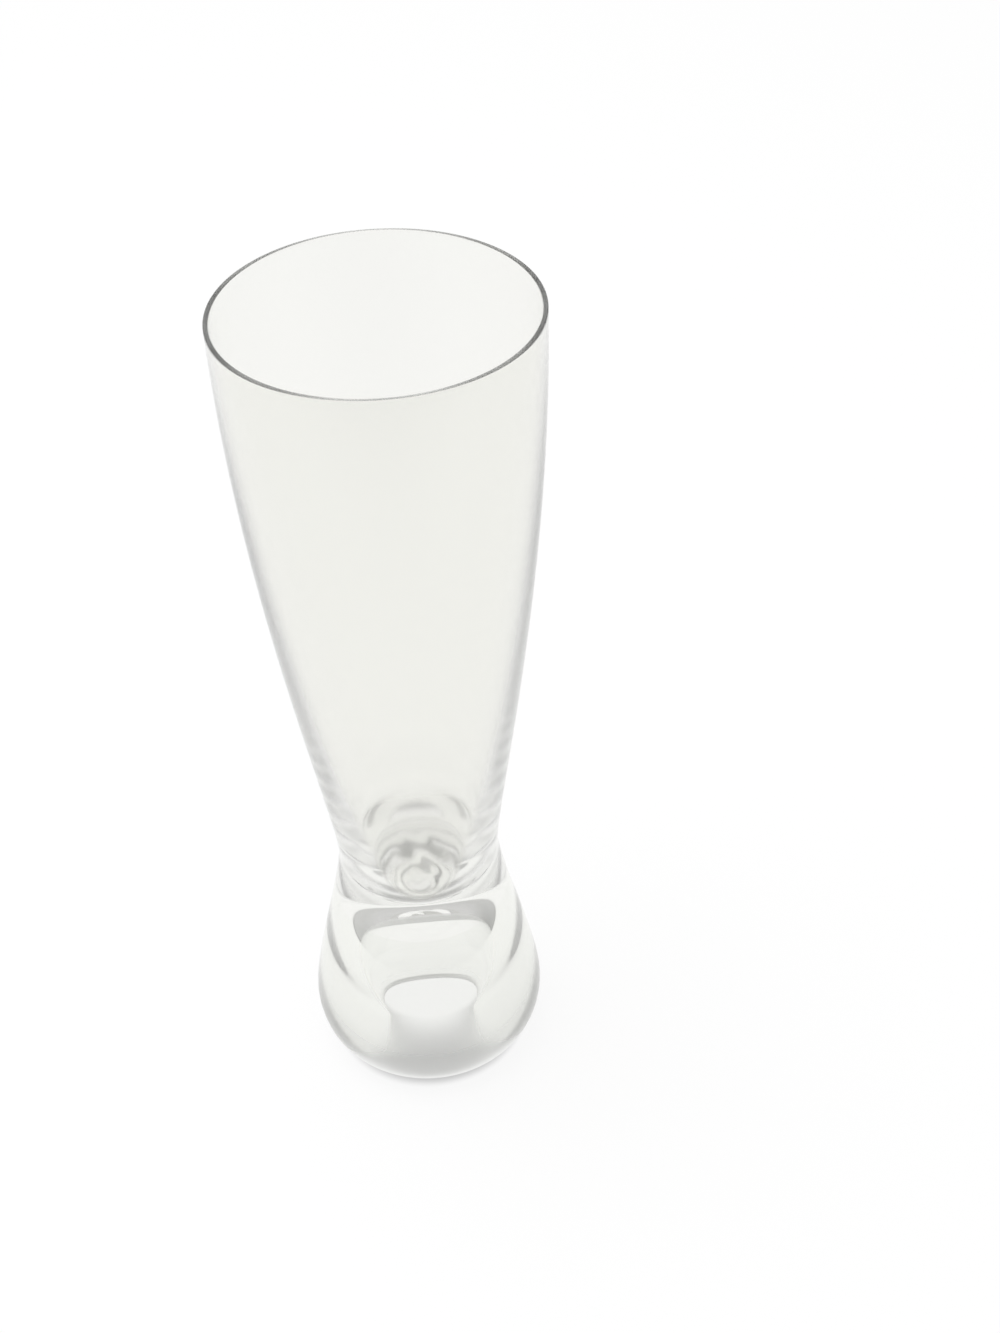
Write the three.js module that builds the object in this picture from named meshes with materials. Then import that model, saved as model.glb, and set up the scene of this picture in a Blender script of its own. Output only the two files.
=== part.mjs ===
// Pilsner glass: a thin tapered bowl on a heavy foot, pinched at the waist. The foot is hollow underneath.
// Sizes are in millimetres. +Z is up, the glass stands on z = 0 and is round about the Z axis.

import * as THREE from 'three';

// Heights above the surface that the glass stands on
const LIP_HEIGHT = 222;
const WAIST_HEIGHT = 66.7;
const HOLLOW_SHOULDER_HEIGHT = 22;
const BULGE_HEIGHT = 14.6;
const HOLLOW_EDGE_HEIGHT = 7;

// Outside radii, and the width of the ring that touches the table
const RIM_RADIUS = 36.2;
const WAIST_RADIUS = 20.6;
const BULGE_RADIUS = 30.5;
const REST_RADIUS = 20;
const REST_RING_WIDTH = 1.8;

// Thickness of the glass at the lip, beside the bowl's floor, at the bulge, and between floor and hollow
const RIM_WALL = 1.1;
const FLOOR_WALL = 7.1;
const BULGE_WALL = 13.5;
const WEB_THICKNESS = 6;

// Depth of the bowl's rounded floor, and how far its side leans out for each millimetre up
const FLOOR_DEPTH = 6;
const FLOOR_LEAN = 0.2;

// Lengths over which a side keeps its lean, at the ends of each curve
const RIM_EASE = 70;
const RIM_BORE_EASE = 70;
const BOWL_WAIST_EASE = 14;
const FLOOR_EASE = 12;
const FOOT_WAIST_EASE = 10.5;
const BULGE_EASE = 10;

// Place of the seam between bowl and foot, as a share of the curve from the bulge to the waist
const SEAM_SHARE = 0.7;

// Length of a handle, as a share of the way to the corner, that rounds the corner as a quarter ellipse
const ROUND = 0.5523;

// Facets round the axis, and steps along each curve of a profile
const FACETS = 64;
const CURVE_STEPS = 9;

const LIP_RADIUS = RIM_WALL / 2;
const LIP_CENTRE_HEIGHT = LIP_HEIGHT - LIP_RADIUS;
const RIM_BORE_RADIUS = RIM_RADIUS - RIM_WALL;
const FLOOR_RADIUS = WAIST_RADIUS - FLOOR_WALL;
const HOLLOW_RADIUS = BULGE_RADIUS - BULGE_WALL;

// The foot's side from the bulge up to the waist, cut in two where the bowl and the foot are fused.
function cutSide() {
  const towards = (from, to) => new THREE.Vector2().lerpVectors(from, to, SEAM_SHARE);
  const bulge = new THREE.Vector2(BULGE_RADIUS, BULGE_HEIGHT);
  const bulgeHandle = new THREE.Vector2(BULGE_RADIUS, BULGE_HEIGHT + BULGE_EASE);
  const waistHandle = new THREE.Vector2(WAIST_RADIUS, WAIST_HEIGHT - FOOT_WAIST_EASE);
  const waist = new THREE.Vector2(WAIST_RADIUS, WAIST_HEIGHT);
  const footStart = towards(bulge, bulgeHandle);
  const middle = towards(bulgeHandle, waistHandle);
  const bowlEnd = towards(waistHandle, waist);
  const footEnd = towards(footStart, middle);
  const bowlStart = towards(middle, bowlEnd);
  const seam = towards(footEnd, bowlStart);
  return { footStart, footEnd, seam, bowlStart, bowlEnd };
}

const side = cutSide();
const FLOOR_HEIGHT = side.seam.y + WEB_THICKNESS / 2;
const HOLLOW_CROWN_HEIGHT = side.seam.y - WEB_THICKNESS / 2;

// Carries a profile round a corner to a point.
function roundTo(profile, cornerRadius, cornerHeight, radius, height) {
  const start = profile.currentPoint.clone();
  profile.bezierCurveTo(
    THREE.MathUtils.lerp(start.x, cornerRadius, ROUND), THREE.MathUtils.lerp(start.y, cornerHeight, ROUND),
    THREE.MathUtils.lerp(radius, cornerRadius, ROUND), THREE.MathUtils.lerp(height, cornerHeight, ROUND),
    radius, height,
  );
}

// Turns a profile of (radius, height) into a solid of revolution about Z.
function turned(name, profile) {
  const geometry = new THREE.LatheGeometry(profile.getPoints(CURVE_STEPS), FACETS);
  geometry.rotateX(Math.PI / 2);
  const glass = new THREE.MeshStandardMaterial({
    color: 0xe6ece9,
    roughness: 0.04,
    metalness: 0,
    transparent: true,
    opacity: 0.35,
  });
  const mesh = new THREE.Mesh(geometry, glass);
  mesh.name = name;
  return mesh;
}

// The bowl: from the seam up the outside, over the round lip, down the inside and across the rounded floor.
function bowl() {
  const profile = new THREE.Path();
  const wallEndHeight = FLOOR_HEIGHT + FLOOR_DEPTH;
  profile.moveTo(0, side.seam.y);
  profile.lineTo(side.seam.x, side.seam.y);
  profile.bezierCurveTo(
    side.bowlStart.x, side.bowlStart.y,
    side.bowlEnd.x, side.bowlEnd.y,
    WAIST_RADIUS, WAIST_HEIGHT,
  );
  profile.bezierCurveTo(
    WAIST_RADIUS, WAIST_HEIGHT + BOWL_WAIST_EASE,
    RIM_RADIUS, LIP_CENTRE_HEIGHT - RIM_EASE,
    RIM_RADIUS, LIP_CENTRE_HEIGHT,
  );
  roundTo(profile, RIM_RADIUS, LIP_HEIGHT, RIM_RADIUS - LIP_RADIUS, LIP_HEIGHT);
  roundTo(profile, RIM_BORE_RADIUS, LIP_HEIGHT, RIM_BORE_RADIUS, LIP_CENTRE_HEIGHT);
  profile.bezierCurveTo(
    RIM_BORE_RADIUS, LIP_CENTRE_HEIGHT - RIM_BORE_EASE,
    FLOOR_RADIUS + FLOOR_LEAN * FLOOR_EASE, wallEndHeight + FLOOR_EASE,
    FLOOR_RADIUS, wallEndHeight,
  );
  roundTo(profile, FLOOR_RADIUS - FLOOR_LEAN * FLOOR_DEPTH, FLOOR_HEIGHT, 0, FLOOR_HEIGHT);
  return turned('bowl', profile);
}

// The foot: from the crown of the hollow down its side, over the resting ring, and up the bulging outside.
function foot() {
  const profile = new THREE.Path();
  const ringBoreRadius = REST_RADIUS - REST_RING_WIDTH;
  profile.moveTo(0, HOLLOW_CROWN_HEIGHT);
  roundTo(profile, HOLLOW_RADIUS, HOLLOW_CROWN_HEIGHT, HOLLOW_RADIUS, HOLLOW_SHOULDER_HEIGHT);
  profile.lineTo(HOLLOW_RADIUS, HOLLOW_EDGE_HEIGHT);
  roundTo(profile, HOLLOW_RADIUS, 0, ringBoreRadius, 0);
  profile.lineTo(REST_RADIUS, 0);
  roundTo(profile, BULGE_RADIUS, 0, BULGE_RADIUS, BULGE_HEIGHT);
  profile.bezierCurveTo(
    side.footStart.x, side.footStart.y,
    side.footEnd.x, side.footEnd.y,
    side.seam.x, side.seam.y,
  );
  profile.lineTo(0, side.seam.y);
  return turned('foot', profile);
}

const pilsnerGlass = new THREE.Group();
pilsnerGlass.add(bowl(), foot());

export default pilsnerGlass;
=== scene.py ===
"""Pilsner glass: a thin tapered bowl fused to a heavy bulging foot that is hollow underneath."""
import math

import bpy
from mathutils import Matrix, Vector


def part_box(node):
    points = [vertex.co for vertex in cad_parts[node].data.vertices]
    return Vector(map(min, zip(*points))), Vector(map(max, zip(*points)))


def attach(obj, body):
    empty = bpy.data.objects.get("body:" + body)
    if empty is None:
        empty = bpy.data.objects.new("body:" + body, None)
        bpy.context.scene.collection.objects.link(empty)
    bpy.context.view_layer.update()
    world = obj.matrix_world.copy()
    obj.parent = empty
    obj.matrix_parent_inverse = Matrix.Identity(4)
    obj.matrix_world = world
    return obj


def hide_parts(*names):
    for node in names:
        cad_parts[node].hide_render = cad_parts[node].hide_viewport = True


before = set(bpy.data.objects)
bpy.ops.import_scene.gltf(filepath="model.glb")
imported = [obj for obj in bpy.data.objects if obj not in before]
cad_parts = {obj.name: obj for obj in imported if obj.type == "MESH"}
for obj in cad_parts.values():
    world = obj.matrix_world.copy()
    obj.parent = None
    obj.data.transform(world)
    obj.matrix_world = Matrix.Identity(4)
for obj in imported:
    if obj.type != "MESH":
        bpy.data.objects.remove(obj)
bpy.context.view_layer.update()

MM = 0.001

# Sizes in millimetres. The outermost ones come from the frame, the rest repeat the part's own.
bowl_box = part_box("bowl")
foot_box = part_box("foot")
LIP_HEIGHT = bowl_box[1].z / MM
RIM_RADIUS = bowl_box[1].x / MM
BULGE_RADIUS = foot_box[1].x / MM
WAIST_HEIGHT = 66.7
HOLLOW_SHOULDER_HEIGHT = 22
BULGE_HEIGHT = 14.6
HOLLOW_EDGE_HEIGHT = 7
WAIST_RADIUS = 20.6
REST_RADIUS = 20
REST_RING_WIDTH = 1.8
RIM_WALL = 1.1
FLOOR_WALL = 7.1
BULGE_WALL = 13.5
WEB_THICKNESS = 6
FLOOR_DEPTH = 6

# How far the side of the bowl's floor leans out for each millimetre up
FLOOR_LEAN = 0.2

# Lengths over which a side keeps its lean
RIM_EASE = 70
RIM_BORE_EASE = 70
BOWL_WAIST_EASE = 14
FLOOR_EASE = 12
FOOT_WAIST_EASE = 10.5
BULGE_EASE = 10

# Place of the seam on the curve from the bulge to the waist, and the handle that rounds a corner
SEAM_SHARE = 0.7
ROUND = 0.5523

# Facets round the axis, the length of one step along a profile, and the fewest steps of a curve
FACETS = 240
STEP = 0.6
FEWEST_STEPS = 6

# A point nearer to the axis than this is on it, and an edge bent by more than this angle in degrees is sharp
ON_AXIS = 0.001
SHARP_ANGLE = 30

# Folds that shaping left in the bowl's floor: way across them and width of both kinds, where the wide kind
# starts in its turn, and the height and reach of all
NARROW_FOLD_WAY = Vector((0.8, 0.6))
NARROW_FOLD_WIDTH = 6
WIDE_FOLD_WAY = Vector((1, -0.5))
WIDE_FOLD_WIDTH = 9.6
WIDE_FOLD_START = 1
FOLD_HEIGHT = 0.4
FOLD_REACH = 13

# Finish of the glass: slow waves, roughness of the polished sides, and scuffs on the resting ring
GLASS_IOR = 1.51
WAVE_WIDTH = 11
WAVE_HEIGHT = 0.004
WAVE_DETAIL = 1
WAVE_UNEVENNESS = 0.4
BOWL_POLISH = 0.07
FOOT_POLISH = 0.03
SCUFF_WIDTH = 0.35
SCUFF_DETAIL = 2
SCUFF_HEIGHT = 0.3
SCUFF_ROUGHNESS = 0.35

# Roughness of the hollow near the table, and the heights between which it clears
HOLLOW_ROUGHNESS = 0.28
DULL_HEIGHT = 8
BRIGHT_HEIGHT = 22

# Studio, in metres: the floor, the white painted pool of light on it and the darker painted tone beyond the
# pool
FLOOR_REACH = 4
FLOOR_DROP = 0.0003
POOL_CENTRE = (0, 0.5, 0)
POOL_RADIUS = 0.72
POOL_FADE = 0.38
FAR_TONE = 0.45

# A painted patch of light, wide and behind the middle of the hollow, where light would come down through it,
# and painted shade of the thick foot on the floor round that patch
LIT_CENTRE = (0, 0.008, 0)
LIT_SHAPE = (0.7, 1, 1)
LIT_RADIUS = 0.0125
SHADE_RADIUS = 0.0195
SHADE_EDGE = 0.023
OPEN_RADIUS = 0.027
SHADE = 0.58

# Share of the floor's white that needs no lamp. The rest is lit, and so keeps the shadow of the glass
GLOW = 0.9

# Tones of the room, how steeply up its overhead tone begins and is full, and the lamp
ROOM_LEFT = 0.62
ROOM_RIGHT = 0.42
ROOM_BEHIND = 0.26
ROOM_ABOVE = 0.85
OVERHEAD_BEGINS = 0.2
OVERHEAD_FULL = 0.8
LAMP_PLACE = Vector((-0.35, 0.1, 1.25))
LAMP_WIDTH = 0.9
LAMP_POWER = 10

# Times that light may turn inside the glass, which carries it far along its walls
LIGHT_TURNS = 64

# Camera: the point on the axis that it stands back from, its distance and elevation, its turn off that point
# in degrees, and its lens in millimetres
VIEW_TARGET = Vector((0, 0, 0.095))
VIEW_DISTANCE = 0.5
VIEW_ELEVATION = 42
VIEW_YAW = 2.731
VIEW_PITCH = 2.419
VIEW_ROLL = -4.717
LENS = 54
SENSOR = 36


def linear(hex_colour):
    """Linear RGBA of an sRGB hex colour."""
    parts = [int(hex_colour[i:i + 2], 16) / 255 for i in (1, 3, 5)]
    return [c / 12.92 if c <= 0.04045 else ((c + 0.055) / 1.055) ** 2.4 for c in parts] + [1]


def add(tree, kind, inputs, **settings):
    """Adds a node. An input is a value, or the output of another node that is linked to it."""
    made = tree.nodes.new(kind)
    for name, value in settings.items():
        setattr(made, name, value)
    for socket, value in inputs.items():
        if isinstance(value, bpy.types.NodeSocket):
            tree.links.new(value, made.inputs[socket])
        else:
            made.inputs[socket].default_value = value
    return made


def new_material(name):
    """An empty material and its node tree."""
    material = bpy.data.materials.new(name)
    material.use_nodes = True
    material.node_tree.nodes.clear()
    return material, material.node_tree


def waved_glass(tree, tint, roughness):
    """Clear glass whose surface has the slow waves of blowing, which bend what is seen through it."""
    place = add(tree, "ShaderNodeTexCoord", {})
    waves = add(tree, "ShaderNodeTexNoise", {
        "Vector": place.outputs["Object"], "Scale": 1 / (WAVE_WIDTH * MM),
        "Detail": WAVE_DETAIL, "Roughness": WAVE_UNEVENNESS})
    relief = add(tree, "ShaderNodeBump", {
        "Height": waves.outputs["Fac"], "Strength": 1.0, "Distance": WAVE_HEIGHT * MM})
    glass = add(tree, "ShaderNodeBsdfPrincipled", {
        "Base Color": linear(tint), "Roughness": roughness, "IOR": GLASS_IOR,
        "Transmission Weight": 1.0, "Normal": relief.outputs[0]})
    add(tree, "ShaderNodeOutputMaterial", {"Surface": glass.outputs[0]})


def bowl_glass():
    """Soda-lime glass, blown and fire-polished, its roughness softening it a little. Its faint warm grey
    tint is painted shade, which dims the floor seen through the bowl.
    """
    material, tree = new_material("blown_soda_lime_bowl")
    # The faint warm grey tint is painted shade on what is seen through the bowl
    waved_glass(tree, "#F7F7F4", BOWL_POLISH)
    return material


def foot_glass():
    """Soda-lime glass, blown thick, and fine scuffs frost the ring it stands on. Its grey tint is painted
    shade, which darkens the floor seen through the foot in place of the shadow round it.
    """
    material, tree = new_material("blown_soda_lime_foot")
    place = add(tree, "ShaderNodeTexCoord", {})
    height = add(tree, "ShaderNodeSeparateXYZ", {0: place.outputs["Object"]})
    scuffs = add(tree, "ShaderNodeTexNoise", {
        "Vector": place.outputs["Object"], "Scale": 1 / (SCUFF_WIDTH * MM), "Detail": SCUFF_DETAIL})
    under = add(tree, "ShaderNodeMapRange", {
        "Value": height.outputs["Z"], "From Min": 0.0, "From Max": SCUFF_HEIGHT * MM,
        "To Min": SCUFF_ROUGHNESS, "To Max": 0.0})
    worn = add(tree, "ShaderNodeMath", {
        0: scuffs.outputs["Fac"], 1: under.outputs[0], 2: FOOT_POLISH}, operation="MULTIPLY_ADD")
    # The grey tint is painted shade of the floor seen through the foot
    waved_glass(tree, "#F1F2ED", worn.outputs[0])
    return material


def hollow_glass():
    """Soda-lime glass, pressed from below. It is clear in the crown, and dull towards the table. It has none
    of the painted shade tint of the foot's outside.
    """
    material, tree = new_material("pressed_soda_lime_hollow")
    place = add(tree, "ShaderNodeTexCoord", {})
    height = add(tree, "ShaderNodeSeparateXYZ", {0: place.outputs["Object"]})
    dull = add(tree, "ShaderNodeMapRange", {
        "Value": height.outputs["Z"], "From Min": DULL_HEIGHT * MM, "From Max": BRIGHT_HEIGHT * MM,
        "To Min": HOLLOW_ROUGHNESS, "To Max": FOOT_POLISH})
    waved_glass(tree, "#FFFFFF", dull.outputs[0])
    return material


def fused_seam():
    """The disc where bowl and foot were fused hot, which leaves no surface to see."""
    material, tree = new_material("fused_seam")
    clear = add(tree, "ShaderNodeBsdfPrincipled", {"Alpha": 0.0})
    add(tree, "ShaderNodeOutputMaterial", {"Surface": clear.outputs[0]})
    return material


def bezier(handles, first=0.0, last=1.0):
    """Points along a cubic curve between two shares of it, without its start."""
    handles = [Vector(h) for h in handles]
    count = max(FEWEST_STEPS, round((handles[3] - handles[0]).length * (last - first) / STEP))
    made = []
    for i in range(1, count + 1):
        t = first + (last - first) * i / count
        weights = ((1 - t) ** 3, 3 * (1 - t) ** 2 * t, 3 * (1 - t) * t * t, t ** 3)
        made.append(sum((w * h for w, h in zip(weights, handles)), Vector((0, 0))))
    return made


def corner(start, peak, end):
    """Points round a corner from start to end, as a quarter of an ellipse, without its start."""
    start, peak, end = Vector(start), Vector(peak), Vector(end)
    return bezier((start, start.lerp(peak, ROUND), end.lerp(peak, ROUND), end))


def straight(start, end):
    """Points along a straight stretch, without its start."""
    start, end = Vector(start), Vector(end)
    count = max(1, round((end - start).length / STEP))
    return [start.lerp(end, i / count) for i in range(1, count + 1)]


# Points of the outside of the foot, and the heights that follow from the seam
BULGE = (BULGE_RADIUS, BULGE_HEIGHT)
WAIST = (WAIST_RADIUS, WAIST_HEIGHT)
BULGE_HANDLE = (BULGE_RADIUS, BULGE_HEIGHT + BULGE_EASE)
WAIST_HANDLE = (WAIST_RADIUS, WAIST_HEIGHT - FOOT_WAIST_EASE)
FOOT_SIDE = (BULGE, BULGE_HANDLE, WAIST_HANDLE, WAIST)
SEAM = bezier(FOOT_SIDE, 0.0, SEAM_SHARE)[-1]
SEAM_MIDDLE = Vector((0, SEAM.y))
FLOOR_HEIGHT = SEAM.y + WEB_THICKNESS / 2
CROWN_HEIGHT = SEAM.y - WEB_THICKNESS / 2


def bowl_side():
    """From the seam up the outside to the lip, down the inside and across the floor."""
    lip = RIM_WALL / 2
    lip_centre = LIP_HEIGHT - lip
    bore = RIM_RADIUS - RIM_WALL
    floor_radius = WAIST_RADIUS - FLOOR_WALL
    wall_end = FLOOR_HEIGHT + FLOOR_DEPTH
    points = bezier(FOOT_SIDE, SEAM_SHARE, 1.0)
    points += bezier((WAIST, (WAIST_RADIUS, WAIST_HEIGHT + BOWL_WAIST_EASE),
                      (RIM_RADIUS, lip_centre - RIM_EASE), (RIM_RADIUS, lip_centre)))
    points += corner((RIM_RADIUS, lip_centre), (RIM_RADIUS, LIP_HEIGHT), (RIM_RADIUS - lip, LIP_HEIGHT))
    points += corner((RIM_RADIUS - lip, LIP_HEIGHT), (bore, LIP_HEIGHT), (bore, lip_centre))
    points += bezier(((bore, lip_centre), (bore, lip_centre - RIM_BORE_EASE),
                      (floor_radius + FLOOR_LEAN * FLOOR_EASE, wall_end + FLOOR_EASE),
                      (floor_radius, wall_end)))
    floor_corner = (floor_radius - FLOOR_LEAN * FLOOR_DEPTH, FLOOR_HEIGHT)
    points += corner((floor_radius, wall_end), floor_corner, (0, FLOOR_HEIGHT))
    return points


def hollow_side():
    """From the crown of the hollow down its side to the resting ring."""
    hollow = BULGE_RADIUS - BULGE_WALL
    ring_bore = REST_RADIUS - REST_RING_WIDTH
    points = corner((0, CROWN_HEIGHT), (hollow, CROWN_HEIGHT), (hollow, HOLLOW_SHOULDER_HEIGHT))
    points += straight((hollow, HOLLOW_SHOULDER_HEIGHT), (hollow, HOLLOW_EDGE_HEIGHT))
    points += corner((hollow, HOLLOW_EDGE_HEIGHT), (hollow, 0), (ring_bore, 0))
    return points


def foot_side():
    """From the inside of the resting ring across it and up the bulging outside to the seam."""
    points = straight((REST_RADIUS - REST_RING_WIDTH, 0), (REST_RADIUS, 0))
    points += corner((REST_RADIUS, 0), (BULGE_RADIUS, 0), BULGE)
    points += bezier(FOOT_SIDE, 0.0, SEAM_SHARE)
    return points


def turned(name, start, stretches):
    """A closed mesh turned about the axis from a profile, whose stretches have a material each."""
    turns = [(math.cos(math.tau * i / FACETS), math.sin(math.tau * i / FACETS)) for i in range(FACETS)]
    profile = [start]
    finishes = []
    for number, (points, _) in enumerate(stretches):
        profile += points
        finishes += [number] * len(points)
    corners = []
    rings = []
    for point in profile:
        spun = turns if point.x > ON_AXIS else turns[:1]
        rings.append(range(len(corners), len(corners) + len(spun)))
        corners += [(point.x * x * MM, point.x * y * MM, point.y * MM) for x, y in spun]
    faces = []
    face_finishes = []
    for low, high, finish in zip(rings, rings[1:], finishes):
        for i in range(FACETS):
            j = (i + 1) % FACETS
            around = (low[i % len(low)], low[j % len(low)], high[j % len(high)], high[i % len(high)])
            # A corner on the axis is met twice, and is kept once
            faces.append(list(dict.fromkeys(around)))
            face_finishes.append(finish)
    mesh = bpy.data.meshes.new(name)
    mesh.from_pydata(corners, [], faces)
    mesh.shade_smooth()
    mesh.set_sharp_from_angle(angle=math.radians(SHARP_ANGLE))
    for face, finish in zip(mesh.polygons, face_finishes):
        face.material_index = finish
    for _, material in stretches:
        mesh.materials.append(material)
    made = bpy.data.objects.new(name, mesh)
    bpy.context.collection.objects.link(made)
    return made


def fold_floor(bowl):
    """Raises and lowers the bowl's floor by slight folds, which die out towards its side."""
    for vertex in bowl.data.vertices:
        place = vertex.co.xy / MM
        height = vertex.co.z / MM
        if FLOOR_HEIGHT - STEP < height < FLOOR_HEIGHT + FLOOR_DEPTH:
            fade = max(0, 1 - place.length_squared / FOLD_REACH ** 2) ** 2
            narrow = math.sin(math.tau * place.dot(NARROW_FOLD_WAY) / NARROW_FOLD_WIDTH)
            wide = math.sin(math.tau * place.dot(WIDE_FOLD_WAY) / WIDE_FOLD_WIDTH + WIDE_FOLD_START)
            vertex.co.z += FOLD_HEIGHT * fade * (narrow + wide) * MM


def floor_with_painted_light():
    """Pale floor, white in a painted pool of light round the glass, with a painted lit patch and painted
    shade under the foot. Its lamp-lit share keeps the real shadow of the glass.
    """
    material, tree = new_material("pale_floor_with_painted_light")
    place = add(tree, "ShaderNodeNewGeometry", {})
    far = add(tree, "ShaderNodeVectorMath", {
        0: place.outputs["Position"], 1: POOL_CENTRE}, operation="DISTANCE")
    # Painted pool of light, white near the glass and fading to a darker tone beyond
    pool = add(tree, "ShaderNodeMapRange", {
        "Value": far.outputs["Value"], "From Min": POOL_RADIUS, "From Max": POOL_RADIUS + POOL_FADE,
        "To Min": 1.0, "To Max": FAR_TONE}, interpolation_type="SMOOTHSTEP")
    # Painted patch of light under the hollow, and painted shade of the foot round it and under its ring
    narrowed = add(tree, "ShaderNodeVectorMath", {
        0: place.outputs["Position"], 1: LIT_SHAPE}, operation="MULTIPLY")
    off_light = add(tree, "ShaderNodeVectorMath", {
        0: narrowed.outputs[0], 1: LIT_CENTRE}, operation="DISTANCE")
    lit = add(tree, "ShaderNodeMapRange", {
        "Value": off_light.outputs["Value"], "From Min": LIT_RADIUS, "From Max": SHADE_RADIUS,
        "To Min": 1.0, "To Max": SHADE}, interpolation_type="SMOOTHSTEP")
    off_axis = add(tree, "ShaderNodeVectorMath", {0: place.outputs["Position"]}, operation="LENGTH")
    clear = add(tree, "ShaderNodeMapRange", {
        "Value": off_axis.outputs["Value"], "From Min": SHADE_EDGE, "From Max": OPEN_RADIUS,
        "To Min": SHADE, "To Max": 1.0}, interpolation_type="SMOOTHSTEP")
    shade = add(tree, "ShaderNodeMath", {0: lit.outputs[0], 1: clear.outputs[0]}, operation="MAXIMUM")
    tone = add(tree, "ShaderNodeMath", {0: pool.outputs[0], 1: shade.outputs[0]}, operation="MULTIPLY")
    paint = add(tree, "ShaderNodeBsdfDiffuse", {"Color": tone.outputs[0]})
    glow = add(tree, "ShaderNodeEmission", {"Strength": tone.outputs[0]})
    ray = add(tree, "ShaderNodeLightPath", {})
    mirrored = add(tree, "ShaderNodeMath", {
        0: ray.outputs["Is Camera Ray"], 1: ray.outputs["Is Glossy Ray"]}, operation="MAXIMUM")
    seen = add(tree, "ShaderNodeMath", {
        0: mirrored.outputs[0], 1: ray.outputs["Is Transmission Ray"]}, operation="MAXIMUM")
    share = add(tree, "ShaderNodeMath", {0: seen.outputs[0], 1: GLOW}, operation="MULTIPLY")
    both = add(tree, "ShaderNodeMixShader", {0: share.outputs[0], 1: paint.outputs[0], 2: glow.outputs[0]})
    add(tree, "ShaderNodeOutputMaterial", {"Surface": both.outputs[0]})
    return material


def pale_floor():
    """A plain pale floor, just under the glass."""
    sides = ((-1, -1), (1, -1), (1, 1), (-1, 1))
    mesh = bpy.data.meshes.new("floor")
    mesh.from_pydata([(x * FLOOR_REACH, y * FLOOR_REACH, -FLOOR_DROP) for x, y in sides], [], [(0, 1, 2, 3)])
    mesh.materials.append(floor_with_painted_light())
    floor = bpy.data.objects.new("floor", mesh)
    bpy.context.collection.objects.link(floor)


def soft_room():
    """A plain grey room, lighter overhead, to the left and behind."""
    world = bpy.data.worlds.new("studio")
    world.use_nodes = True
    bpy.context.scene.world = world
    tree = world.node_tree
    tree.nodes.clear()
    place = add(tree, "ShaderNodeTexCoord", {})
    way = add(tree, "ShaderNodeSeparateXYZ", {0: place.outputs["Generated"]})
    across = add(tree, "ShaderNodeMapRange", {
        "Value": way.outputs["X"], "From Min": -1.0, "From Max": 1.0,
        "To Min": ROOM_LEFT, "To Max": ROOM_RIGHT})
    overhead = add(tree, "ShaderNodeMapRange", {
        "Value": way.outputs["Z"], "From Min": OVERHEAD_BEGINS, "From Max": OVERHEAD_FULL},
        interpolation_type="SMOOTHSTEP")
    behind = add(tree, "ShaderNodeMapRange", {"Value": way.outputs["Y"], "To Max": ROOM_BEHIND})
    around = add(tree, "ShaderNodeMath", {0: across.outputs[0], 1: behind.outputs[0]}, operation="ADD")
    tone = add(tree, "ShaderNodeMix", {0: overhead.outputs[0], 2: around.outputs[0], 3: ROOM_ABOVE})
    glow = add(tree, "ShaderNodeBackground", {"Strength": tone.outputs[0]})
    add(tree, "ShaderNodeOutputWorld", {"Surface": glow.outputs[0]})


def soft_lamp():
    """One large soft lamp above the glass, out of sight of its reflections."""
    lamp = bpy.data.lights.new("soft_lamp", "AREA")
    lamp.energy = LAMP_POWER
    lamp.size = LAMP_WIDTH
    held = bpy.data.objects.new("soft_lamp", lamp)
    held.location = LAMP_PLACE
    held.visible_glossy = False
    held.visible_transmission = False
    bpy.context.collection.objects.link(held)


def camera():
    """The view from above, at the height and lean of the picture."""
    lens = bpy.data.cameras.new("camera")
    lens.lens = LENS
    lens.sensor_width = SENSOR
    held = bpy.data.objects.new("camera", lens)
    lean = math.radians(VIEW_ELEVATION)
    away = Vector((0, -math.cos(lean), math.sin(lean))) * VIEW_DISTANCE
    held.matrix_world = (
        Matrix.Translation(VIEW_TARGET + away)
        @ Matrix.Rotation(math.pi / 2 - lean, 4, "X")
        @ Matrix.Rotation(math.radians(-VIEW_YAW), 4, "Y")
        @ Matrix.Rotation(math.radians(VIEW_PITCH), 4, "X")
        @ Matrix.Rotation(math.radians(VIEW_ROLL), 4, "Z")
    )
    bpy.context.collection.objects.link(held)
    bpy.context.scene.camera = held


bpy.context.scene.view_settings.view_transform = "Standard"
bpy.context.scene.cycles.max_bounces = LIGHT_TURNS
bpy.context.scene.cycles.glossy_bounces = LIGHT_TURNS
bpy.context.scene.cycles.transmission_bounces = LIGHT_TURNS
camera()
soft_room()
soft_lamp()
pale_floor()

seam = fused_seam()
bowl = turned("glass_bowl", SEAM_MIDDLE, [
    (straight(SEAM_MIDDLE, SEAM), seam),
    (bowl_side(), bowl_glass()),
])
fold_floor(bowl)
foot = turned("glass_foot", Vector((0, CROWN_HEIGHT)), [
    (hollow_side(), hollow_glass()),
    (foot_side(), foot_glass()),
    (straight(SEAM, SEAM_MIDDLE), seam),
])
for piece, node in ((bowl, "bowl"), (foot, "foot")):
    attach(piece, "root")
    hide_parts(node)
